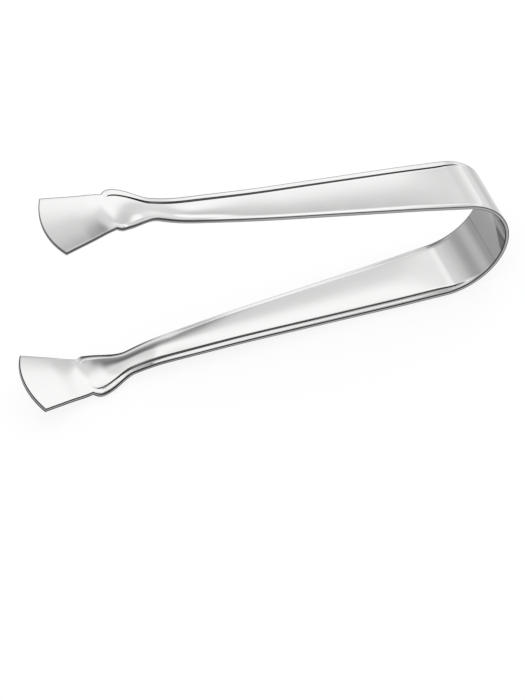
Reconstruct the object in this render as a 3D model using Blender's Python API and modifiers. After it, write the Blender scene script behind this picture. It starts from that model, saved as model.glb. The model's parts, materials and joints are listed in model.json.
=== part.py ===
"""Sugar tongs pressed and bent from one strip of stainless steel.

A flat strip is bent round into a bow, which is the spring. An arm runs on from each end of the bow,
narrows to a neck, and ends in a flat fan-shaped claw. The arms' long edges are turned outward, away from
the other arm, which stiffens them. At the shoulder the turned edge opens into an ear on each side.

The middle frame has its origin at the bow's centre, +X out through the bow's back, +Z towards the upper
arm and +Y across the strip. It is tilted about Y so that the tongs rest on both ends of the lower arm.
Lengths are in millimetres and angles in degrees here, and meshes are in metres.
"""

import math

import bpy
from mathutils import Matrix, Vector

MM = 0.001

# Sheet and bow
SHEET_THICKNESS = 0.9
BOW_INNER_RADIUS = 12.6
BOW_HALF_WIDTH = 7.5
BOW_STEPS = 40

# Line of an arm, seen from the side
ARM_LENGTH = 84.4
ARM_SPREAD = 6.4
FLARE_START = 63.0
FLARE_LENGTH = 13.0
FLARE_ANGLE = 22.5
SHOULDER_BEND_LENGTH = 4.5

# Outline of an arm, seen from above
NECK_HALF_WIDTH = 2.8
NECK_TO_CLAW = 9.6
EAR_HALF_WIDTH = 6.1
EAR_TO_CLAW = 1.6

# Turned edge of an arm
EDGE_RADIUS = 1.15
NECK_EDGE_RADIUS = 1.7
EDGE_ANGLE = 86.0
EDGE_RUN_IN = 9.0
EAR_RUN_OUT = 8.0
EAR_MARGIN = 3.1
EAR_ANGLE = 27.0
PANEL_CROWN_ANGLE = 4.0

# Claw
CLAW_ANGLE = -6.0
CLAW_SIDE_LENGTH = 12.4
CLAW_ROOT_HALF_WIDTH = 5.2
CLAW_TIP_HALF_WIDTH = 8.4
CLAW_TIP_BULGE = 2.1
CLAW_ARC_POINTS = 24

# Gap that separates the regions of the one strip
SPLIT_GAP = 0.3

# Stations and points of the arm's surface
LINE_STEP = 0.1
SUPPORT_ROUNDS = 8
RUN_IN_STATIONS = 8
PLAIN_STATIONS = 8
NECK_STATIONS = 28
PANEL_POINTS = 3
MARGIN_POINTS = 7

STEEL_COLOUR = (0.78, 0.78, 0.77, 1.0)
STEEL_ROUGHNESS = 0.12
COLLECTION_NAME = "sugar_tongs"


def smooth(value):
    """Ease from 0 to 1 while value goes from 0 to 1."""
    value = min(max(value, 0.0), 1.0)
    return value * value * (3.0 - 2.0 * value)


def blend(start, end, share):
    return start + (end - start) * share


def line_slope(along):
    """Angle in radians between the arm's inner face and the middle line, at a length from the bow."""
    flare = smooth((along - FLARE_START) / FLARE_LENGTH)
    bend = smooth((along - ARM_LENGTH + SHOULDER_BEND_LENGTH) / SHOULDER_BEND_LENGTH)
    before_bend = blend(ARM_SPREAD, FLARE_ANGLE, flare)
    return math.radians(blend(before_bend, CLAW_ANGLE, bend))


def bow_end():
    """Inner end point of the bow's arc, where the upper arm starts."""
    end_angle = math.radians(90.0 - ARM_SPREAD)
    return Vector((math.cos(end_angle), 0.0, math.sin(end_angle))) * BOW_INNER_RADIUS


def line_point(along):
    """Point on the upper arm's inner face, on the middle plane, at a length from the bow."""
    point = bow_end()
    steps = max(1, round(along / LINE_STEP))
    step = along / steps
    for index in range(steps):
        slope = line_slope((index + 0.5) * step)
        point += Vector((-math.cos(slope), 0.0, math.sin(slope))) * step
    return point


def line_outward(along):
    """Unit vector from the upper arm's inner face to its outer face."""
    slope = line_slope(along)
    return Vector((math.sin(slope), 0.0, math.cos(slope)))


def outline_half_width(along):
    """Half of the arm's width: a straight taper to the neck, the ear, and the step down to the claw."""
    neck = ARM_LENGTH - NECK_TO_CLAW
    ear = ARM_LENGTH - EAR_TO_CLAW
    if along < neck:
        return blend(BOW_HALF_WIDTH, NECK_HALF_WIDTH, along / neck)
    if along < ear:
        return blend(NECK_HALF_WIDTH, EAR_HALF_WIDTH, smooth((along - neck) / (ear - neck)))
    quarter_turn = 0.5 * math.pi * (along - ear) / EAR_TO_CLAW
    return blend(CLAW_ROOT_HALF_WIDTH, EAR_HALF_WIDTH, math.cos(quarter_turn))


def turned_edge(along):
    """Length of the turned margin across the strip, and the angle in radians that it turns through."""
    ear = ARM_LENGTH - EAR_TO_CLAW
    opened = smooth((along - ear + EAR_RUN_OUT) / EAR_RUN_OUT)
    neck = ARM_LENGTH - NECK_TO_CLAW
    radius = blend(EDGE_RADIUS, NECK_EDGE_RADIUS, smooth((along - 0.5 * neck) / (0.5 * neck)))
    margin = blend(radius * 0.5 * math.pi, EAR_MARGIN, opened)
    angle = blend(EDGE_ANGLE * smooth(along / EDGE_RUN_IN), EAR_ANGLE, opened)
    if along > ear:
        angle *= math.cos(0.5 * math.pi * (along - ear) / EAR_TO_CLAW)
    return margin, math.radians(angle)


def half_section(along):
    """Inner face across one half of the strip: offsets across the strip and towards the outer face."""
    margin, turn = turned_edge(along)
    flatten = smooth(along / EDGE_RUN_IN) * (1.0 - smooth((along - FLARE_START) / (ARM_LENGTH - FLARE_START)))
    crown = math.radians(PANEL_CROWN_ANGLE) * flatten
    turn = max(turn, 0.001)
    crown = max(crown, 0.001)
    radius = margin / turn
    reach = radius * (math.sin(crown + turn) - math.sin(crown))
    panel = outline_half_width(along) - reach
    panel_radius = panel / math.sin(crown)
    section = []
    for index in range(PANEL_POINTS):
        angle = crown * index / PANEL_POINTS
        section.append((panel_radius * math.sin(angle), panel_radius * (1.0 - math.cos(angle))))
    drop = panel_radius * (1.0 - math.cos(crown))
    for index in range(MARGIN_POINTS):
        angle = crown + turn * index / (MARGIN_POINTS - 1)
        across = panel + radius * (math.sin(angle) - math.sin(crown))
        outward = drop + radius * (math.cos(crown) - math.cos(angle))
        section.append((across, outward))
    return section


def stations():
    """Lengths from the bow at which the arm's surface has a row of points."""
    start = 0.5 * SPLIT_GAP
    end = ARM_LENGTH - 0.5 * SPLIT_GAP
    limits = ((start, EDGE_RUN_IN, RUN_IN_STATIONS), (EDGE_RUN_IN, FLARE_START, PLAIN_STATIONS),
              (FLARE_START, end, NECK_STATIONS))
    rows = []
    for first, last, count in limits:
        rows += [blend(first, last, index / count) for index in range(count)]
    return rows + [end]


def hinge_point():
    """Middle of the sheet at the split between the bow and the upper arm: the axis that the arm turns on."""
    return bow_end() + line_outward(0.0) * (0.5 * SHEET_THICKNESS)


def claw_matrix():
    """Claw frame: X runs to the tip, Y across, Z to the outer face, origin in the middle of the sheet."""
    along = ARM_LENGTH + 0.5 * SPLIT_GAP
    outward = line_outward(ARM_LENGTH)
    to_tip = Vector((-outward.z, 0.0, outward.x))
    across = outward.cross(to_tip)
    origin = line_point(along) + outward * (0.5 * SHEET_THICKNESS)
    matrix = Matrix((to_tip, across, outward)).transposed().to_4x4()
    matrix.translation = origin
    return matrix


def clear_scene():
    for scene_object in list(bpy.data.objects):
        bpy.data.objects.remove(scene_object, do_unlink=True)


def steel_material(name, colour, roughness):
    material = bpy.data.materials.new(name)
    material.use_nodes = True
    shader = material.node_tree.nodes["Principled BSDF"]
    shader.inputs["Base Color"].default_value = colour
    shader.inputs["Roughness"].default_value = roughness
    shader.inputs["Metallic"].default_value = 1.0
    return material


def add_object(name, data, parent, collection, matrix=None):
    scene_object = bpy.data.objects.new(name, data)
    collection.objects.link(scene_object)
    scene_object.parent = parent
    if matrix is not None:
        scene_object.matrix_local = matrix
    return scene_object


def add_sheet(scene_object, side):
    """Give an open surface the sheet's thickness: side 1 is where its normals point, 0 is both sides."""
    solidify = scene_object.modifiers.new("sheet", "SOLIDIFY")
    solidify.thickness = SHEET_THICKNESS * MM
    solidify.offset = side
    solidify.use_even_offset = True


def make_bow(parent, collection, material):
    """A straight line across the strip, turned about Y, with the sheet's thickness outside it."""
    split_angle = math.asin(0.5 * SPLIT_GAP / BOW_INNER_RADIUS)
    sweep = 2.0 * (math.radians(90.0 - ARM_SPREAD) - split_angle)
    start = Matrix.Rotation(-0.5 * sweep, 4, "Y") @ Vector((BOW_INNER_RADIUS * MM, 0.0, 0.0))
    points = [(start.x, side * BOW_HALF_WIDTH * MM, start.z) for side in (-1.0, 1.0)]
    mesh = bpy.data.meshes.new("bow")
    mesh.from_pydata(points, [(0, 1)], [])
    mesh.materials.append(material)
    bow = add_object("bow", mesh, parent, collection)
    turned = bow.modifiers.new("turned", "SCREW")
    turned.axis = "Y"
    turned.angle = sweep
    turned.steps = BOW_STEPS
    turned.render_steps = BOW_STEPS
    turned.merge_threshold = 0.00001
    turned.use_smooth_shade = True
    turned.use_normal_flip = True
    add_sheet(bow, 1.0)
    return bow


def arm_mesh(material):
    """One half of the arm's inner face, from its middle line to its edge, about the hinge point."""
    hinge = hinge_point()
    rows = stations()
    vertices = []
    for along in rows:
        base = line_point(along) - hinge
        outward = line_outward(along)
        for across, depth in half_section(along):
            point = base + outward * depth
            vertices.append((point.x * MM, across * MM, point.z * MM))
    width = PANEL_POINTS + MARGIN_POINTS
    faces = []
    for row in range(len(rows) - 1):
        for column in range(width - 1):
            corner = row * width + column
            faces.append((corner, corner + 1, corner + width + 1, corner + width))
    mesh = bpy.data.meshes.new("arm")
    mesh.from_pydata(vertices, [], faces)
    mesh.materials.append(material)
    mesh.shade_smooth()
    return mesh


def make_arm(name, mesh, hinge, collection):
    arm = add_object(name, mesh, hinge, collection)
    mirror = arm.modifiers.new("other_half", "MIRROR")
    mirror.use_axis = (False, True, False)
    mirror.merge_threshold = 0.00001
    add_sheet(arm, 1.0)
    return arm


def claw_curve(material):
    """Flat outline of the fan: two straight sides and a circular tip."""
    radius = (CLAW_TIP_HALF_WIDTH ** 2 + CLAW_TIP_BULGE ** 2) / (2.0 * CLAW_TIP_BULGE)
    half_angle = math.asin(CLAW_TIP_HALF_WIDTH / radius)
    centre = CLAW_SIDE_LENGTH + CLAW_TIP_BULGE - radius
    outline = [(0.0, -CLAW_ROOT_HALF_WIDTH)]
    for index in range(CLAW_ARC_POINTS + 1):
        angle = half_angle * (2.0 * index / CLAW_ARC_POINTS - 1.0)
        outline.append((centre + radius * math.cos(angle), radius * math.sin(angle)))
    outline.append((0.0, CLAW_ROOT_HALF_WIDTH))
    curve = bpy.data.curves.new("claw", "CURVE")
    curve.dimensions = "2D"
    curve.fill_mode = "BOTH"
    spline = curve.splines.new("POLY")
    spline.points.add(len(outline) - 1)
    for point, (forward, across) in zip(spline.points, outline):
        point.co = (forward * MM, across * MM, 0.0, 1.0)
    spline.use_cyclic_u = True
    curve.materials.append(material)
    return curve


def make_claw(name, curve, hinge, collection):
    matrix = claw_matrix()
    matrix.translation = (matrix.translation - hinge_point()) * MM
    claw = add_object(name, curve, hinge, collection, matrix)
    add_sheet(claw, 0.0)
    return claw


def surface_points(scene_object):
    """World positions of an object's points with its modifiers applied."""
    evaluated = scene_object.evaluated_get(bpy.context.evaluated_depsgraph_get())
    points = [evaluated.matrix_world @ vertex.co for vertex in evaluated.to_mesh().vertices]
    evaluated.to_mesh_clear()
    return points


def resting_matrix(bow, lower_arm, claws):
    """Middle frame to world: the lower arm's rear and front touch Z = 0, and the whole's box is centred on X."""
    arm_points = surface_points(lower_arm)
    arm_middle = sum(point.x for point in arm_points) / len(arm_points)
    rear = [point for point in arm_points if point.x > arm_middle] + surface_points(bow)
    front = [point for point in arm_points if point.x <= arm_middle]
    for claw in claws:
        front += surface_points(claw)
    pitch = math.radians(ARM_SPREAD)
    for _ in range(SUPPORT_ROUNDS):
        tilt = Matrix.Rotation(pitch, 4, "Y")
        span = min(front, key=lambda point: (tilt @ point).z) - min(rear, key=lambda point: (tilt @ point).z)
        pitch = math.atan2(-span.z, -span.x)
    tilt = Matrix.Rotation(pitch, 4, "Y")
    tilted = [tilt @ point for point in rear + front]
    centre = 0.5 * (min(point.x for point in tilted) + max(point.x for point in tilted))
    return Matrix.Translation((-centre, 0.0, -min(point.z for point in tilted))) @ tilt


def build():
    clear_scene()
    collection = bpy.data.collections.new(COLLECTION_NAME)
    bpy.context.scene.collection.children.link(collection)
    bow_steel = steel_material("bow_steel", STEEL_COLOUR, STEEL_ROUGHNESS)
    arm_steel = steel_material("arm_steel", STEEL_COLOUR, STEEL_ROUGHNESS)
    claw_steel = steel_material("claw_steel", STEEL_COLOUR, STEEL_ROUGHNESS)
    middle = add_object("middle_frame", None, None, collection)
    bow = make_bow(middle, collection, bow_steel)
    mesh = arm_mesh(arm_steel)
    curve = claw_curve(claw_steel)
    hinge = Matrix.Translation(hinge_point() * MM)
    half_turn = Matrix.Rotation(math.pi, 4, "X")
    upper_hinge = add_object("upper_hinge", None, middle, collection, hinge)
    lower_hinge = add_object("lower_hinge", None, middle, collection, half_turn @ hinge)
    make_arm("upper_arm", mesh, upper_hinge, collection)
    lower_arm = make_arm("lower_arm", mesh, lower_hinge, collection)
    upper_claw = make_claw("upper_claw", curve, upper_hinge, collection)
    lower_claw = make_claw("lower_claw", curve, lower_hinge, collection)
    middle.matrix_world = resting_matrix(bow, lower_arm, (upper_claw, lower_claw))


build()
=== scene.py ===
"""Looks of the sugar tongs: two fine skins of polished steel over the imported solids, and a pale studio.

The middle frame has its origin at the bow's centre, +X out through the bow's back, +Z towards the upper
arm and +Y across the strip. Lengths are in millimetres and angles in degrees where they are named here,
and meshes are in metres. Each skin is one half of the strip, from the bow's back to a claw's tip. A length
along a half is counted from where the bow meets the arm: below 0 on the bow, above 0 on the arm.
"""

import json
import math

import bmesh
import bpy
from mathutils import Matrix, Vector


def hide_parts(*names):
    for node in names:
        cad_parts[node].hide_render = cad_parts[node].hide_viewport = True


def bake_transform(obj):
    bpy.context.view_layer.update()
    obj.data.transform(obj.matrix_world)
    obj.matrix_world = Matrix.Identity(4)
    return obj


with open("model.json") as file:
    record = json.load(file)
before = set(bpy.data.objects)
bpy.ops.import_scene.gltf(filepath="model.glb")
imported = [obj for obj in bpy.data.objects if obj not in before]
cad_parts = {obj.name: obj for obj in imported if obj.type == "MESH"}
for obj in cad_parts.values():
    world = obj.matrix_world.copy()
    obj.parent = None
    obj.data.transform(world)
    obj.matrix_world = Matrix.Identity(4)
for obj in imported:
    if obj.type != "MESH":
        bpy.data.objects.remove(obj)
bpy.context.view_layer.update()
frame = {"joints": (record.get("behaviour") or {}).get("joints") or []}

MM = 0.001

# Sheet and bow
SHEET_THICKNESS = 0.897
BOW_INNER_RADIUS = 12.6
BOW_HALF_WIDTH = 7.5

# Line of an arm, seen from the side
ARM_LENGTH = 84.4
ARM_SPREAD = 6.4
FLARE_START = 63.0
FLARE_LENGTH = 13.0
FLARE_ANGLE = 22.5
SHOULDER_BEND_MIDDLE = -2.25
SHOULDER_BEND_LENGTH = 14.0

# The neck stands a little further from the middle plane than the line's own course
NECK_SHIFT = 0.45
NECK_SHIFT_START = 42.0
NECK_SHIFT_TOP = 73.0
NECK_SHIFT_END = 83.0

# Outline of an arm, seen from above
NECK_HALF_WIDTH = 3.35
NECK_TO_CLAW = 10.2
EAR_HALF_WIDTH = 6.1
EAR_TO_CLAW = 1.6

# Pressed border of an arm: a step outward from the panel, then a narrow tilted band up to the cut edge
STEP_START = -11.0
STEP_RUN_IN = 3.0
STEP_START_SIZE = 0.3
STEP_BEND = 0.15
STEP_SLOPE = 50.0
STEP_FACE = 0.25
NECK_STEP_FACE = 0.38
ROOT_STEP_SHRINK = 0.6
STEP_RUN_OUT = 2.5
BAND_START_WIDTH = 0.1
BOW_BAND_WIDTH = 1.0
BAND_WIDTH = 0.85
NECK_BAND_WIDTH = 0.75
EAR_BAND_WIDTH = 1.25
BOW_BAND_TILT = 5.0
BAND_TILT = 9.0
BAND_TILT_RUN_IN = 40.0
EAR_BAND_TILT = 14.0
EAR_BAND_START = 74.0
EAR_BAND_RUN_IN = 7.8

# Shallow crown of the panel between the borders: slope at its sides
PANEL_CROWN_ANGLE = 4.0
PANEL_CROWN_RUN_IN = 14.0
NECK_CROWN_ANGLE = 15.0
NECK_CROWN_START = 48.0
NECK_CROWN_FULL = 72.0
ROOT_CROWN_ANGLE = 5.0
LEAST_CROWN = 0.0005  # radians

# Painted shade: dark line on the inner face along the neck's rim, wider on the far side; strength of its last
# columns
RIM_LINE_START = 62.0
RIM_LINE_RUN_IN = 10.0
RIM_LINE_RUN_OUT = 1.5
NEAR_RIM_SHARES = (1.0,)
FAR_RIM_SHARES = (0.5, 1.0, 1.0)
# Near-black level that the painted shade darkens the steel's colour towards
PAINTED_SHADE_LEVEL = 0.03

# Painted shade round the bow's back: how far the steel's colour is darkened on the inner and outer face, and
# where it ends
BOW_PAINTED_SHADE_INSIDE = 0.56
BOW_PAINTED_SHADE_INSIDE_END = -12.15
BOW_PAINTED_SHADE_INSIDE_RUN_OUT = 0.9
BOW_PAINTED_SHADE_OUTSIDE = 0.34
BOW_PAINTED_SHADE_OUTSIDE_END = -5.0
BOW_PAINTED_SHADE_OUTSIDE_RUN_OUT = 2.2

# Rounded corners of the sheet's cut edge
INNER_ARRIS = 0.22
OUTER_ARRIS = 0.08

# Claw
CLAW_ANGLE = -6.0
CLAW_SIDE_LENGTH = 12.458
CLAW_ROOT_HALF_WIDTH = 5.2
CLAW_TIP_HALF_WIDTH = 8.399
CLAW_TIP_BULGE = 2.1
CLAW_CROWN = 0.23
CLAW_CROWN_LEVEL = 0.78
CLAW_CROWN_RUN_IN = 0.5  # share of the claw's length

# Rows and columns of the skins
LINE_STEP = 0.1
BOW_ROW_ANGLE = 1.0
APEX_ROWS = (0.0, 0.1, 0.3)  # degrees from the bow's back
PLAIN_ROW_STEP = 0.5
SHOULDER_ROW_STEP = 0.2
CLAW_ROW_STEP = 0.3
CLAW_LAST_PLACES = (0.985, 0.995, 1.0)
PANEL_POINTS = 12
BEND_POINTS = 4
STEP_FACE_POINTS = 2
BAND_POINTS = 3
WALK_STEPS = 8
ARRIS_POINTS = 5
CORNER_POINTS = 4
WELD_DISTANCE = 1e-9  # metres

# Polished steel: two tints, polishing lines along the strip, and handling marks
STEEL_TINTS = ((0.655, 0.655, 0.652, 1.0), (0.685, 0.685, 0.680, 1.0))
STEEL_ROUGHNESS = (0.06, 0.12)
POLISH_STRETCH = (120.0, 9000.0, 1.0)
POLISH_DETAIL = 3.0
POLISH_BUMP = 0.05
POLISH_DEPTH = 0.00001  # metres
SMEAR_SCALE = 220.0
SMEAR_DETAIL = 4.0

# Cut edge: painted shade and highlight as a level at each share of the thickness, from the inner face, on arm
# and claw
ARM_EDGE_PAINTED_LEVELS = ((0.0, 0.05), (0.15, 0.05), (0.3, 0.38), (0.7, 0.38), (0.84, 0.05), (0.96, 0.07),
                   (1.0, 0.35))
CLAW_EDGE_PAINTED_LEVELS = ((0.0, 0.05), (0.14, 0.06), (0.26, 0.42), (0.42, 0.42), (0.52, 0.12), (0.66, 0.05),
                    (0.88, 0.06), (1.0, 0.2))
CLAW_SHADES_START = -45.0  # from the claw's root
CLAW_SHADES_FULL = -14.0
EDGE_ROUGHNESS = (0.22, 0.4)
EDGE_STRETCH = (9000.0, 2.0, 1.0)
EDGE_DETAIL = 3.0
EDGE_BUMP = 0.1
EDGE_DEPTH = 0.00002  # metres

# Range of a noise that is spread over a roughness
NOISE_RANGE = (0.3, 0.7)

# Camera: place in metres, focal length and sensor in millimetres
CAMERA_PLACE = (-0.222378, -0.591044, 0.723892)
CAMERA_AZIMUTH = -21.739
CAMERA_ELEVATION = 48.836
CAMERA_TILT = 1.0577
CAMERA_LENS = 221.9
CAMERA_SENSOR = 36.0

# Floor: half its side in metres, its colour, and its glow for the camera and for what mirrors it
FLOOR_REACH = 3.0
FLOOR_SHADE = 0.22
FLOOR_GLOW = 0.82

# Levels of the studio: for each azimuth to the right of the camera's heading, levels at the elevations
ELEVATIONS = (0.0, 5.0, 10.0, 15.0, 20.0, 25.0, 29.0, 33.0, 37.0, 41.0, 45.0, 49.0, 53.0, 60.0, 90.0)
STUDIO_BEHIND = (0.9, 0.9, 0.9, 0.9, 0.9, 0.9, 0.6, 0.3, 0.15, 0.1, 0.08, 0.08, 0.1, 0.5, 1.4)
STUDIO = (
    (-180.0, STUDIO_BEHIND),
    (-160.0, (1.1, 1.1, 1.1, 1.1, 1.1, 1.1, 1.1, 1.1, 1.2, 1.2, 1.3, 1.3, 1.4, 1.4, 1.4)),
    (-110.0, (0.7, 0.7, 0.7, 0.75, 0.75, 0.75, 0.75, 0.8, 0.85, 0.9, 0.95, 1.0, 1.15, 1.3, 1.4)),
    (-70.0, (0.45, 0.45, 0.45, 0.57, 0.67, 0.66, 0.62, 0.53, 0.48, 0.5, 0.63, 0.8, 0.95, 1.1, 1.3)),
    (-50.0, (0.33, 0.33, 0.35, 0.39, 0.43, 0.46, 0.49, 0.51, 0.52, 0.52, 0.6, 0.8, 1.0, 1.15, 1.3)),
    (-28.0, (0.4, 0.6, 0.95, 1.1, 1.1, 0.85, 0.5, 0.33, 0.25, 0.2, 0.27, 0.62, 0.98, 1.0, 1.3)),
    (-14.0, (0.6, 0.75, 1.1, 1.25, 1.25, 1.05, 0.65, 0.42, 0.34, 0.28, 0.32, 0.68, 1.05, 1.03, 1.3)),
    (-5.0, (0.75, 0.9, 1.2, 1.35, 1.35, 1.2, 0.8, 0.45, 0.4, 0.5, 0.85, 1.2, 1.38, 1.35, 1.35)),
    (1.0, (0.85, 0.9, 1.0, 1.2, 1.3, 1.3, 1.2, 1.0, 0.98, 0.96, 0.97, 1.32, 1.4, 1.4, 1.4)),
    (7.0, (0.9, 0.9, 0.9, 0.9, 0.9, 0.93, 0.92, 0.92, 0.97, 1.02, 1.08, 1.38, 1.42, 1.35, 1.4)),
    (15.0, (1.1, 1.1, 1.08, 1.04, 0.88, 0.8, 0.93, 1.4, 1.4, 1.4, 1.43, 1.43, 1.3, 1.2, 1.3)),
    (24.0, (1.23, 1.25, 1.14, 1.02, 0.98, 0.97, 1.02, 1.3, 1.42, 1.38, 1.38, 1.4, 1.4, 1.35, 1.4)),
    (60.0, (1.2, 1.2, 1.2, 1.18, 1.18, 1.18, 1.18, 1.22, 1.3, 1.3, 1.35, 1.4, 1.4, 1.4, 1.4)),
    (76.0, (1.2, 1.2, 1.2, 1.2, 1.2, 1.2, 1.2, 1.2, 1.3, 1.3, 1.4, 1.4, 1.4, 1.4, 1.4)),
    (92.0, (0.6, 0.1, 0.03, 0.03, 0.03, 0.03, 0.03, 0.03, 0.03, 0.03, 0.05, 0.3, 0.8, 1.2, 1.4)),
    (110.0, (0.9, 0.6, 0.2, 0.06, 0.03, 0.03, 0.03, 0.03, 0.03, 0.03, 0.04, 0.1, 0.4, 1.0, 1.4)),
    (128.0, (0.9, 0.9, 0.9, 0.8, 0.4, 0.1, 0.04, 0.03, 0.03, 0.03, 0.03, 0.03, 0.03, 0.2, 1.4)),
    (148.0, (0.9, 0.9, 0.9, 0.9, 0.9, 0.5, 0.15, 0.04, 0.03, 0.03, 0.03, 0.03, 0.03, 0.2, 1.4)),
    (166.0, (0.9, 0.9, 0.9, 0.9, 0.9, 0.6, 0.15, 0.05, 0.03, 0.03, 0.03, 0.03, 0.03, 0.2, 1.4)),
    (180.0, STUDIO_BEHIND),
)
# Patches: azimuth right of the camera's heading, elevation, inner and outer radius in degrees, level
PATCHES = (
    (13.0, 15.0, 4.0, 7.5, 1.42),
    (0.0, 27.0, 5.0, 8.0, 1.35),
)


def smooth(value):
    """Ease from 0 to 1 while value goes from 0 to 1."""
    value = min(max(value, 0.0), 1.0)
    return value * value * (3.0 - 2.0 * value)


def blend(start, end, share):
    return start + (end - start) * share


def steps(start, end, size):
    """Evenly spaced values from start up to, not including, end."""
    count = max(1, round((end - start) / size))
    return [blend(start, end, index / count) for index in range(count)]


def line_slope(along):
    """Angle in radians between the arm's inner face and the middle plane, at a length from the bow."""
    flare = smooth((along - FLARE_START) / FLARE_LENGTH)
    bend_start = ARM_LENGTH + SHOULDER_BEND_MIDDLE - 0.5 * SHOULDER_BEND_LENGTH
    bend = smooth((along - bend_start) / SHOULDER_BEND_LENGTH)
    before_bend = blend(ARM_SPREAD, FLARE_ANGLE, flare)
    return math.radians(blend(before_bend, CLAW_ANGLE, bend))


def line_table():
    """Points of the upper arm's inner face at half its width, LINE_STEP apart."""
    end_angle = math.radians(90.0 - ARM_SPREAD)
    point = Vector((math.cos(end_angle), 0.0, math.sin(end_angle))) * BOW_INNER_RADIUS
    points = [point.copy()]
    for index in range(round((ARM_LENGTH + CLAW_SIDE_LENGTH + CLAW_TIP_BULGE) / LINE_STEP)):
        slope = line_slope((index + 0.5) * LINE_STEP)
        point = point + Vector((-math.cos(slope), 0.0, math.sin(slope))) * LINE_STEP
        points.append(point)
    return points


LINE = line_table()


def line_point(along):
    """Inner point at half the strip's width, with the neck's shift."""
    if along < 0.0:
        return line_outward(along) * BOW_INNER_RADIUS
    place = along / LINE_STEP
    index = min(int(place), len(LINE) - 2)
    shift = smooth((along - NECK_SHIFT_START) / (NECK_SHIFT_TOP - NECK_SHIFT_START))
    shift *= smooth((NECK_SHIFT_END - along) / (NECK_SHIFT_END - NECK_SHIFT_TOP))
    return LINE[index].lerp(LINE[index + 1], place - index) + line_outward(along) * NECK_SHIFT * shift


def line_outward(along):
    """Unit vector from the inner face to the outer face of the upper half."""
    if along < 0.0:
        angle = math.radians(90.0 - ARM_SPREAD) + along / BOW_INNER_RADIUS
        return Vector((math.cos(angle), 0.0, math.sin(angle)))
    slope = line_slope(along)
    return Vector((math.sin(slope), 0.0, math.cos(slope)))


def outline_half_width(along):
    """Half of the arm's width: a straight taper to the neck, the ear, and the step down to the claw."""
    neck = ARM_LENGTH - NECK_TO_CLAW
    ear = ARM_LENGTH - EAR_TO_CLAW
    if along < neck:
        return blend(BOW_HALF_WIDTH, NECK_HALF_WIDTH, max(along, 0.0) / neck)
    if along < ear:
        return blend(NECK_HALF_WIDTH, EAR_HALF_WIDTH, smooth((along - neck) / (ear - neck)))
    quarter_turn = 0.5 * math.pi * (along - ear) / EAR_TO_CLAW
    return blend(CLAW_ROOT_HALF_WIDTH, EAR_HALF_WIDTH, math.cos(quarter_turn))


def root_share(along):
    """Ease from 0 at the neck to 1 at the claw's root."""
    return smooth((along - NECK_CROWN_FULL) / (ARM_LENGTH - NECK_CROWN_FULL))


def pressed_border(along):
    """Lengths of the step's bends and of its face, its slope, and the band's width and tilt, in radians."""
    run_in = smooth((along - STEP_START) / (STEP_RUN_IN - STEP_START))
    run_out = 1.0 - smooth((along - ARM_LENGTH + STEP_RUN_OUT) / STEP_RUN_OUT)
    size = blend(STEP_START_SIZE, 1.0, run_in)
    face = blend(STEP_FACE, NECK_STEP_FACE, smooth(along / (ARM_LENGTH - NECK_TO_CLAW)))
    face *= 1.0 - ROOT_STEP_SHRINK * root_share(along)
    slope = math.radians(STEP_SLOPE) * math.sqrt(run_in) * math.sqrt(run_out)
    mid_arm = smooth(along / BAND_TILT_RUN_IN)
    neck = smooth((along - BAND_TILT_RUN_IN) / (NECK_CROWN_FULL - BAND_TILT_RUN_IN))
    ear = smooth((along - EAR_BAND_START) / EAR_BAND_RUN_IN)
    tilt = blend(blend(BOW_BAND_TILT, BAND_TILT, mid_arm), EAR_BAND_TILT, ear)
    tilt = math.radians(tilt) * run_in * run_out
    band = blend(BOW_BAND_WIDTH, BAND_WIDTH, mid_arm)
    band = blend(blend(band, NECK_BAND_WIDTH, neck), EAR_BAND_WIDTH, ear)
    return STEP_BEND * size, face * size, slope, blend(BAND_START_WIDTH, band, run_in), tilt


def crown_points(panel, crown):
    """Points of a panel that is a shallow arc, up to but without its edge."""
    radius = panel / math.sin(crown)
    angles = [crown * index / PANEL_POINTS for index in range(PANEL_POINTS)]
    return [(radius * math.sin(angle), radius * (1.0 - math.cos(angle))) for angle in angles]


def half_section(along):
    """One half of the strip's section: inner face, outer face, and the tilt of its edge.

    Points are offsets across the strip and towards the outer face.
    """
    bend, face, slope, band, tilt = pressed_border(along)
    neck = smooth((along - NECK_CROWN_START) / (NECK_CROWN_FULL - NECK_CROWN_START))
    crown = blend(blend(PANEL_CROWN_ANGLE, NECK_CROWN_ANGLE, neck), ROOT_CROWN_ANGLE, root_share(along))
    crown = max(math.radians(crown) * smooth(along / PANEL_CROWN_RUN_IN), LEAST_CROWN)
    tilt = max(tilt, crown)
    slope = max(slope, tilt)
    walk = [(0.0, 0.0)]
    for length, first, last, points in (
        (bend, crown, slope, BEND_POINTS),
        (face, slope, slope, STEP_FACE_POINTS),
        (bend, slope, tilt, BEND_POINTS),
        (band, tilt, tilt, BAND_POINTS),
    ):
        count = points * WALK_STEPS
        step = length / count
        for index in range(count):
            angle = blend(first, last, (index + 0.5) / count)
            across, outward = walk[-1]
            walk.append((across + step * math.cos(angle), outward + step * math.sin(angle)))
    walk = walk[::WALK_STEPS]
    panel = outline_half_width(along) - walk[-1][0] - INNER_ARRIS * math.cos(tilt)
    drop = panel * math.tan(0.5 * crown)
    inner = crown_points(panel, crown) + [(panel + across, drop + outward) for across, outward in walk]
    band_start = PANEL_POINTS + 2 * BEND_POINTS + STEP_FACE_POINTS
    outer = []
    for index, (across, outward) in enumerate(inner):
        turn = tilt * smooth((index - band_start) / BAND_POINTS)
        across -= SHEET_THICKNESS * math.sin(turn)
        outer.append((across, outward + SHEET_THICKNESS * math.cos(turn)))
    return inner, outer, tilt


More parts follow.
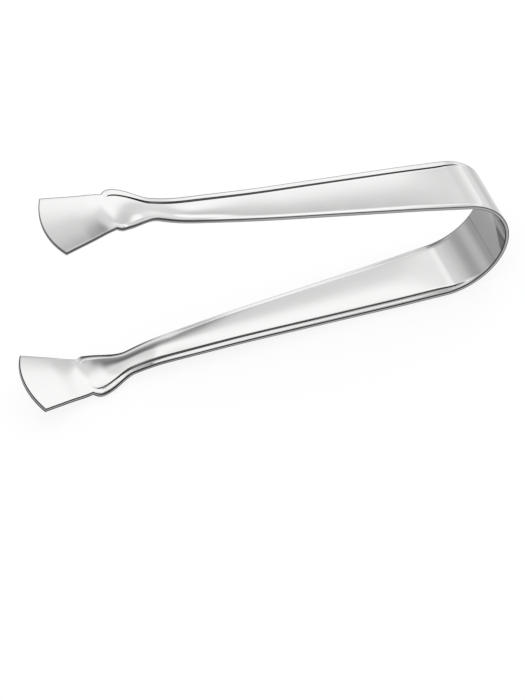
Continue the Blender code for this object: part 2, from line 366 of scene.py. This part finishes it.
def arm_rows(arc):
    """Rows of the upper half from the bow's back to the claw's root: distance, both faces, edge direction."""
    degree = math.radians(1.0) * BOW_INNER_RADIUS
    lengths = [-arc + angle * degree for angle in APEX_ROWS]
    lengths += steps(-arc + degree, 0.0, BOW_ROW_ANGLE * degree)
    lengths += steps(0.0, FLARE_START, PLAIN_ROW_STEP)
    lengths += steps(FLARE_START, ARM_LENGTH, SHOULDER_ROW_STEP) + [ARM_LENGTH]
    rows = []
    for along in lengths:
        base = line_point(along)
        outward = line_outward(along)
        inner, outer, tilt = half_section(along)
        faces = []
        for section in (inner, outer):
            points = [(base + outward * depth, across) for across, depth in section]
            faces.append([Vector((point.x, across, point.z)) for point, across in points])
        edge = Vector((0.0, math.cos(tilt), 0.0)) + outward * math.sin(tilt)
        rows.append((arc + along, faces[0], faces[1], edge))
    return rows


def claw_rows(arc):
    """Rows of the upper claw, fanned out between its root and its curved tip, and its forward direction."""
    sections = []
    for section in half_section(ARM_LENGTH)[:2]:
        sections.append([(across / section[-1][0], depth) for across, depth in section])
    radius = (CLAW_TIP_HALF_WIDTH ** 2 + CLAW_TIP_BULGE ** 2) / (2.0 * CLAW_TIP_BULGE)
    outward = line_outward(ARM_LENGTH + CLAW_SIDE_LENGTH)
    forward = Vector((-outward.z, 0.0, outward.x))
    root_width = CLAW_ROOT_HALF_WIDTH - INNER_ARRIS
    tip_width = CLAW_TIP_HALF_WIDTH - INNER_ARRIS
    places = steps(0.0, 1.0, CLAW_ROW_STEP / CLAW_SIDE_LENGTH)[1:] + list(CLAW_LAST_PLACES)
    side = Vector((0.0, 1.0, 0.0))
    rows = []
    for place in places:
        half_width = blend(root_width, tip_width, place)
        crowned = smooth(place / CLAW_CROWN_RUN_IN)
        faces = []
        for section, level in zip(sections, (0.0, SHEET_THICKNESS)):
            points = []
            for share, depth in section:
                tip = share * tip_width
                bulge = CLAW_TIP_BULGE - radius + math.sqrt(radius ** 2 - tip ** 2)
                along = ARM_LENGTH + place * (CLAW_SIDE_LENGTH - INNER_ARRIS + bulge)
                crown = level + CLAW_CROWN * (share ** 2 - CLAW_CROWN_LEVEL)
                point = line_point(along) + line_outward(along) * blend(depth, crown, crowned)
                points.append(Vector((point.x, share * half_width, point.z)))
            faces.append(points)
        rows.append((arc + ARM_LENGTH + place * CLAW_SIDE_LENGTH, faces[0], faces[1], side))
    return rows, forward


def cut_edge_profile():
    """Points of the cut edge between the faces: reach beyond their edge, and share of the thickness."""
    points = []
    for index in range(1, ARRIS_POINTS + 1):
        angle = 0.5 * math.pi * index / ARRIS_POINTS
        depth = INNER_ARRIS * (1.0 - math.cos(angle))
        points.append((INNER_ARRIS * math.sin(angle), depth / SHEET_THICKNESS))
    for index in range(ARRIS_POINTS + 1):
        angle = 0.5 * math.pi * index / ARRIS_POINTS
        depth = OUTER_ARRIS * (1.0 - math.sin(angle))
        points.append((INNER_ARRIS - OUTER_ARRIS * (1.0 - math.cos(angle)), 1.0 - depth / SHEET_THICKNESS))
    return points


def painted_shade_columns(along, width, inside):
    """Strength of the painted shade in a face's columns, from the middle to the near and to the far edge."""
    if inside:
        rim = smooth((along - RIM_LINE_START) / RIM_LINE_RUN_IN)
        rim *= smooth((ARM_LENGTH - along) / RIM_LINE_RUN_OUT)
        painted_bow_shade = BOW_PAINTED_SHADE_INSIDE * smooth((BOW_PAINTED_SHADE_INSIDE_END - along) / BOW_PAINTED_SHADE_INSIDE_RUN_OUT)
    else:
        rim = 0.0
        painted_bow_shade = BOW_PAINTED_SHADE_OUTSIDE * smooth((BOW_PAINTED_SHADE_OUTSIDE_END - along) / BOW_PAINTED_SHADE_OUTSIDE_RUN_OUT)
    marks = []
    for shares in (NEAR_RIM_SHARES, FAR_RIM_SHARES):
        marks.append([painted_bow_shade] * (width - len(shares)) + [max(share * rim, painted_bow_shade) for share in shares])
    return marks


def edge_stops(rows, count, forward):
    """Row, column and direction of each post of the cut edge.

    They go from the bow's back along the far side, round the tip and back along the near side.
    """
    last = len(rows) - 1
    side = [(row, count - 1, rows[row][3]) for row in range(last + 1)]
    for index in range(1, CORNER_POINTS + 1):
        edge = rows[last][3].lerp(forward, index / (CORNER_POINTS + 1)).normalized()
        side.append((last, count - 1, edge))
    tip = [(last, column, forward) for column in range(count - 1, -1, -1)]
    mirrored = [(row, 0, Vector((edge.x, -edge.y, edge.z))) for row, column, edge in side]
    return side + tip + mirrored[::-1]


def half_mesh(side):
    """One half of the strip in the middle frame, open at the bow's back.

    Side 1 is the upper half and -1 the lower. Gives the points, their two UV places, the faces, and how many
    faces and points come before the cut edge.
    """
    arc = math.radians(90.0 - ARM_SPREAD) * BOW_INNER_RADIUS
    front, forward = claw_rows(arc)
    rows = arm_rows(arc) + front
    width = len(rows[0][1])
    count = 2 * width - 1
    vertices, places, through, faces = [], [], [], []

    def add(point, along, across, share):
        """Add a point of the upper half; share is its place through the sheet, or a face's painted shade."""
        vertices.append(Vector((point.x, point.y, side * point.z)) * MM)
        places.append((along * MM, across * MM))
        through.append((along * MM, share))
        return len(vertices) - 1

    def point_at(index):
        """Point of the upper half, in millimetres."""
        point = vertices[index] / MM
        return Vector((point.x, point.y, side * point.z))

    grids = []
    for face in (1, 2):
        grid = []
        for row in rows:
            along, points = row[0], row[face]
            near, far = painted_shade_columns(along - arc, width, face == 1)
            line = []
            for p, mark in zip(points[:0:-1], near[:0:-1]):
                line.append(add(Vector((p.x, -p.y, p.z)), along, -p.y, mark))
            line += [add(p, along, p.y, mark) for p, mark in zip(points, far)]
            grid.append(line)
        grids.append(grid)
    for grid, flip in zip(grids, (False, True)):
        for low, high in zip(grid[:-1], grid[1:]):
            for column in range(count - 1):
                quad = (low[column], low[column + 1], high[column + 1], high[column])
                faces.append(quad[::-1] if flip else quad)
    plain, flat = len(faces), len(vertices)

    stops = edge_stops(rows, count, forward)
    posts = []
    for index, (row, column, edge) in enumerate(stops):
        before, after = stops[max(index - 1, 0)], stops[min(index + 1, len(stops) - 1)]
        along = point_at(grids[0][after[0]][after[1]]) - point_at(grids[0][before[0]][before[1]])
        if along.length > 0.0 and row < len(rows) - 1 or 0 < column < count - 1:
            along.normalize()
            edge = (edge - along * edge.dot(along)).normalized()
        start, end = grids[0][row][column], grids[1][row][column]
        chain = [start]
        for reach, share in cut_edge_profile():
            point = point_at(start).lerp(point_at(end), share) + edge * reach
            chain.append(add(point, rows[row][0], places[start][1] / MM + reach, share))
        posts.append(chain + [end])
    for first, second in zip(posts[:-1], posts[1:]):
        for index in range(len(first) - 1):
            quad = [first[index], second[index], second[index + 1], first[index + 1]]
            quad = [corner for place, corner in enumerate(quad) if corner not in quad[:place]]
            if len(quad) > 2:
                faces.append(tuple(quad))
    return vertices, places, through, faces, plain, flat


def half_skin(name, side, middle, materials):
    """One half of the strip as a closed piece in world coordinates."""
    vertices, places, through, faces, plain, flat = half_mesh(side)
    inner = flat // 2
    mesh = bpy.data.meshes.new(name)
    mesh.from_pydata(vertices, [], faces)
    for material in materials:
        mesh.materials.append(material)
    for polygon in mesh.polygons[plain:]:
        polygon.material_index = 1
    for layer_name, values in (("strip", places), ("cut", through)):
        layer = mesh.uv_layers.new(name=layer_name)
        for loop in mesh.loops:
            layer.data[loop.index].uv = values[loop.vertex_index]
    # On the cut edge, corners that it shares with the faces take their place through the sheet
    for polygon in mesh.polygons[plain:]:
        for loop, corner in zip(polygon.loop_indices, polygon.vertices):
            layer.data[loop].uv[1] = through[corner][1] if corner >= flat else float(corner >= inner)
    half = bmesh.new()
    half.from_mesh(mesh)
    bmesh.ops.remove_doubles(half, verts=half.verts, dist=WELD_DISTANCE)
    for face in half.faces:
        face.smooth = True
    seam = [edge for edge in half.edges if edge.is_boundary]
    for face in bmesh.ops.contextual_create(half, geom=seam)["faces"]:
        face.smooth = False
    for edge in seam:
        edge.smooth = False
    bmesh.ops.recalc_face_normals(half, faces=half.faces)
    half.transform(middle)
    half.to_mesh(mesh)
    half.free()
    skin = bpy.data.objects.new(name, mesh)
    bpy.context.scene.collection.objects.link(skin)
    return skin


def middle_frame():
    """Middle frame to world, in metres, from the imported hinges, and the hinges."""
    hinges = {joint["name"]: Vector(joint["pos_m"]) for joint in frame["joints"]}
    upper, lower = hinges["upper_squeeze"], hinges["lower_squeeze"]
    up = (upper - lower).normalized()
    across = Vector((0.0, 1.0, 0.0))
    back = across.cross(up)
    hinge_radius = (BOW_INNER_RADIUS + 0.5 * SHEET_THICKNESS) * MM
    matrix = Matrix((back, across, up)).transposed().to_4x4()
    matrix.translation = 0.5 * (upper + lower) - back * hinge_radius * math.sin(math.radians(ARM_SPREAD))
    return matrix, upper, lower


def node_at(tree, kind, **settings):
    """A new node with some of its settings."""
    node = tree.nodes.new(kind)
    for name, value in settings.items():
        setattr(node, name, value)
    return node


def mixed(tree, factor, first, second):
    """Output of a colour mix; a colour is a socket or a fixed value."""
    node = node_at(tree, "ShaderNodeMix", data_type="RGBA")
    tree.links.new(factor, node.inputs["Factor"])
    for name, colour in (("A", first), ("B", second)):
        if isinstance(colour, tuple):
            node.inputs[name].default_value = colour
        else:
            tree.links.new(colour, node.inputs[name])
    return node.outputs["Result"]


def ramp_at(tree, source, shades):
    """Output of a colour ramp with grey levels at positions from 0 to 1."""
    ramp = node_at(tree, "ShaderNodeValToRGB")
    stops = ramp.color_ramp.elements
    while len(stops) < len(shades):
        stops.new(0.5)
    for stop, (position, level) in zip(stops, shades):
        stop.position = position
        stop.color = (level, level, level, 1.0)
    tree.links.new(source, ramp.inputs["Fac"])
    return ramp.outputs["Color"]


def share_between(tree, value, low, high):
    """Output that eases from 0 to 1 while value goes from low to high."""
    node = node_at(tree, "ShaderNodeMapRange", interpolation_type="SMOOTHSTEP")
    node.inputs["From Min"].default_value = low
    node.inputs["From Max"].default_value = high
    tree.links.new(value, node.inputs["Value"])
    return node.outputs["Result"]


def uv_place(tree, layer):
    return node_at(tree, "ShaderNodeUVMap", uv_map=layer).outputs["UV"]


def uv_parts(tree, place):
    """The two coordinates of a UV place."""
    parts = node_at(tree, "ShaderNodeSeparateXYZ")
    tree.links.new(place, parts.inputs["Vector"])
    return parts.outputs["X"], parts.outputs["Y"]


def noise_at(tree, place, detail, scale=1.0, stretch=None):
    """Output of a noise over a place in metres, which may be stretched."""
    if stretch:
        mapping = node_at(tree, "ShaderNodeMapping")
        mapping.inputs["Scale"].default_value = stretch
        tree.links.new(place, mapping.inputs["Vector"])
        place = mapping.outputs["Vector"]
    noise = node_at(tree, "ShaderNodeTexNoise")
    noise.inputs["Scale"].default_value = scale
    noise.inputs["Detail"].default_value = detail
    tree.links.new(place, noise.inputs["Vector"])
    return noise.outputs["Fac"]


def metal(name):
    """A new metal material and its shader."""
    material = bpy.data.materials.new(name)
    material.use_nodes = True
    shader = material.node_tree.nodes["Principled BSDF"]
    shader.inputs["Metallic"].default_value = 1.0
    return material, shader


def finish_metal(tree, shader, colour, gloss_noise, roughness, bump_noise, strength, depth):
    """Link a metal's colour, roughness and bump."""
    tree.links.new(colour, shader.inputs["Base Color"])
    gloss = node_at(tree, "ShaderNodeMapRange")
    for name, value in zip(("From Min", "From Max", "To Min", "To Max"), NOISE_RANGE + roughness):
        gloss.inputs[name].default_value = value
    tree.links.new(gloss_noise, gloss.inputs["Value"])
    tree.links.new(gloss.outputs["Result"], shader.inputs["Roughness"])
    bump = node_at(tree, "ShaderNodeBump")
    bump.inputs["Strength"].default_value = strength
    bump.inputs["Distance"].default_value = depth
    tree.links.new(bump_noise, bump.inputs["Height"])
    tree.links.new(bump.outputs["Normal"], shader.inputs["Normal"])


def steel():
    """Polished stainless steel with polishing lines along the strip, handling marks, and painted shade along
    the neck's rim and round the bow's back.
    """
    material, shader = metal("polished_steel")
    tree = material.node_tree
    place = uv_place(tree, "strip")
    lines = noise_at(tree, place, POLISH_DETAIL, stretch=POLISH_STRETCH)
    smears = noise_at(tree, place, SMEAR_DETAIL, scale=SMEAR_SCALE)
    tint = mixed(tree, smears, *STEEL_TINTS)
    # Painted shade: the steel's colour is darkened along the neck's rim and round the bow's back
    painted_shade_factor = uv_parts(tree, uv_place(tree, "cut"))[1]
    colour = mixed(tree, painted_shade_factor, tint, (PAINTED_SHADE_LEVEL, PAINTED_SHADE_LEVEL, PAINTED_SHADE_LEVEL, 1.0))
    finish_metal(tree, shader, colour, smears, STEEL_ROUGHNESS, lines, POLISH_BUMP, POLISH_DEPTH)
    return material


def blanked_steel_and_painted_shade():
    """The cut edge, left from the blanking press: satin, with fine cross marks, and painted shade and
    highlight in bands across it, darkest at its corners.
    """
    material, shader = metal("blanked_steel_and_painted_shade")
    tree = material.node_tree
    place = uv_place(tree, "cut")
    along, through = uv_parts(tree, place)
    claw_root = math.radians(90.0 - ARM_SPREAD) * BOW_INNER_RADIUS + ARM_LENGTH
    start, full = (claw_root + CLAW_SHADES_START) * MM, (claw_root + CLAW_SHADES_FULL) * MM
    on_claw = share_between(tree, along, start, full)
    # Painted shade and highlight: grey levels across the cut edge, changing from the arm's table to the
    # claw's
    arm, claw = ramp_at(tree, through, ARM_EDGE_PAINTED_LEVELS), ramp_at(tree, through, CLAW_EDGE_PAINTED_LEVELS)
    marks = noise_at(tree, place, EDGE_DETAIL, stretch=EDGE_STRETCH)
    colour = mixed(tree, on_claw, arm, claw)
    finish_metal(tree, shader, colour, marks, EDGE_ROUGHNESS, marks, EDGE_BUMP, EDGE_DEPTH)
    return material


def heading(azimuth, elevation):
    """World direction at an azimuth to the right of the camera's heading, and an elevation."""
    turn = math.radians(CAMERA_AZIMUTH)
    rise = math.radians(elevation)
    side = math.radians(azimuth)
    ahead = Vector((-math.sin(turn), math.cos(turn), 0.0))
    right = Vector((math.cos(turn), math.sin(turn), 0.0))
    flat = ahead * math.cos(side) + right * math.sin(side)
    return flat * math.cos(rise) + Vector((0.0, 0.0, math.sin(rise)))


def studio_world():
    """Soft studio round the tongs, from the table of levels and the patches, and white for the camera."""
    world = bpy.data.worlds.new("studio")
    bpy.context.scene.world = world
    world.use_nodes = True
    tree = world.node_tree
    place = node_at(tree, "ShaderNodeTexCoord").outputs["Generated"]

    def math_node(operation, *values):
        node = node_at(tree, "ShaderNodeMath", operation=operation)
        for socket, value in zip(node.inputs, values):
            if isinstance(value, float):
                socket.default_value = value
            else:
                tree.links.new(value, socket)
        return node.outputs["Value"]

    def part_along(direction):
        dot = node_at(tree, "ShaderNodeVectorMath", operation="DOT_PRODUCT")
        dot.inputs[1].default_value = direction
        tree.links.new(place, dot.inputs[0])
        return dot.outputs["Value"]

    azimuth = math_node("ARCTAN2", part_along(heading(90.0, 0.0)), part_along(heading(0.0, 0.0)))
    azimuth = math_node("DEGREES", azimuth)
    elevation = math_node("ARCSINE", part_along((0.0, 0.0, 1.0)))
    elevation = math_node("DIVIDE", elevation, 0.5 * math.pi)
    positions = [rise / 90.0 for rise in ELEVATIONS]
    colour = ramp_at(tree, elevation, list(zip(positions, STUDIO[0][1])))
    for (before, _), (after, levels) in zip(STUDIO[:-1], STUDIO[1:]):
        column = ramp_at(tree, elevation, list(zip(positions, levels)))
        colour = mixed(tree, share_between(tree, azimuth, before, after), colour, column)
    for patch_azimuth, patch_elevation, inner, outer, level in PATCHES:
        facing = part_along(heading(patch_azimuth, patch_elevation))
        inside = share_between(tree, facing, math.cos(math.radians(outer)), math.cos(math.radians(inner)))
        colour = mixed(tree, inside, colour, (level, level, level, 1.0))
    path = node_at(tree, "ShaderNodeLightPath")
    colour = mixed(tree, path.outputs["Is Camera Ray"], colour, (1.0, 1.0, 1.0, 1.0))
    tree.links.new(colour, tree.nodes["Background"].inputs["Color"])


def floor():
    """Plain white paper, which keeps the object's shadow."""
    mesh = bpy.data.meshes.new("floor")
    corners = [(x * FLOOR_REACH, y * FLOOR_REACH, 0.0) for x, y in ((-1, -1), (1, -1), (1, 1), (-1, 1))]
    mesh.from_pydata(corners, [], [(0, 1, 2, 3)])
    material = bpy.data.materials.new("paper")
    material.use_nodes = True
    tree = material.node_tree
    shader = tree.nodes["Principled BSDF"]
    shader.inputs["Base Color"].default_value = (FLOOR_SHADE, FLOOR_SHADE, FLOOR_SHADE, 1.0)
    shader.inputs["Roughness"].default_value = 1.0
    shader.inputs["Specular IOR Level"].default_value = 0.0
    shader.inputs["Emission Color"].default_value = (1.0, 1.0, 1.0, 1.0)
    path = node_at(tree, "ShaderNodeLightPath")
    seen = path.outputs["Is Camera Ray"]
    for ray in ("Is Glossy Ray", "Is Transmission Ray"):
        either = node_at(tree, "ShaderNodeMath", operation="MAXIMUM")
        tree.links.new(seen, either.inputs[0])
        tree.links.new(path.outputs[ray], either.inputs[1])
        seen = either.outputs["Value"]
    strength = node_at(tree, "ShaderNodeMath", operation="MULTIPLY")
    tree.links.new(seen, strength.inputs[0])
    strength.inputs[1].default_value = FLOOR_GLOW
    tree.links.new(strength.outputs["Value"], shader.inputs["Emission Strength"])
    mesh.materials.append(material)
    plane = bpy.data.objects.new("floor", mesh)
    bpy.context.scene.collection.objects.link(plane)


def camera():
    """Camera at the photo's viewing angle."""
    data = bpy.data.cameras.new("camera")
    data.sensor_fit = "AUTO"
    data.sensor_width = CAMERA_SENSOR
    data.lens = CAMERA_LENS
    turn = math.radians(CAMERA_AZIMUTH)
    right = Vector((math.cos(turn), math.sin(turn), 0.0))
    ahead = heading(0.0, -CAMERA_ELEVATION)
    basis = Matrix((right, right.cross(ahead), -ahead)).transposed().to_4x4()
    roll = Matrix.Rotation(math.radians(CAMERA_TILT), 4, "Y")
    eye = bpy.data.objects.new("camera", data)
    eye.matrix_world = Matrix.Translation(CAMERA_PLACE) @ roll @ basis
    bpy.context.scene.collection.objects.link(eye)
    bpy.context.scene.camera = eye


camera()
studio_world()
floor()
middle, upper_hinge, lower_hinge = middle_frame()
finishes = (steel(), blanked_steel_and_painted_shade())
upper_skin = half_skin("upper_half", 1.0, middle, finishes)
lower_skin = half_skin("lower_half", -1.0, middle, finishes)
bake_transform(upper_skin)
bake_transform(lower_skin)
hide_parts("bow", "upper_arm", "upper_claw")
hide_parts("lower_arm", "lower_claw")
bpy.context.scene.view_settings.view_transform = "Standard"
